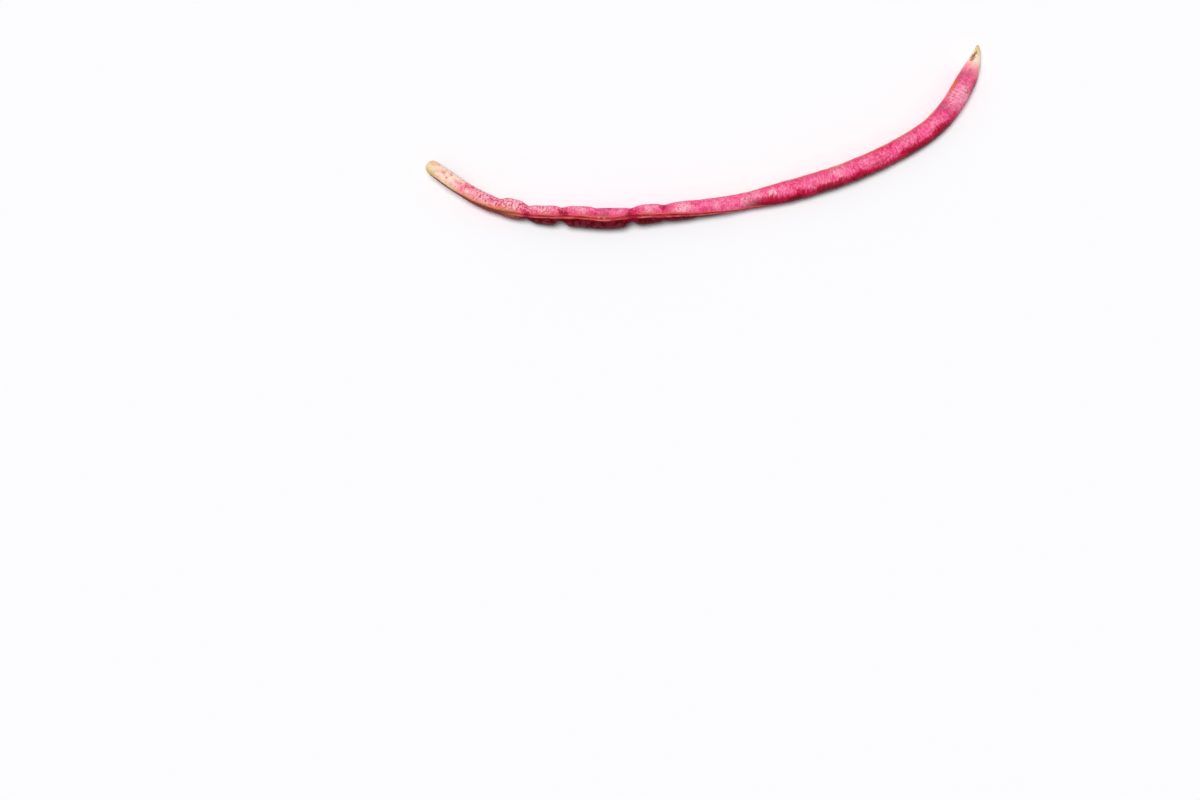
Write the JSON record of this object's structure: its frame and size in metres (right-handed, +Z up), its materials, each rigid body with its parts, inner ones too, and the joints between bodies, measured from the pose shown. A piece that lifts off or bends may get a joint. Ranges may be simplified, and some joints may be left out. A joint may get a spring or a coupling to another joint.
{
  "type": "red noodle bean pod",
  "caption": "Long, slender, curved red bean pod, swollen over its seeds and pinched between them, lying on a surface with its stem end and pointed beak lifted.",
  "frame": {"origin": "on the surface that the pod rests on, under the middle of the pod's bounding box", "axes": "+X from the stem end towards the beak, +Y the side that both ends curve towards, +Z up"},
  "size_m": [0.3046, 0.1008, 0.0114],
  "materials": {
    "pod_skin": "waxy satin skin, pink over the seeds and crimson between them, cream at both ends"
  },
  "bodies": {
    "root": {"pod": "pod_skin"}
  },
  "joints": []
}
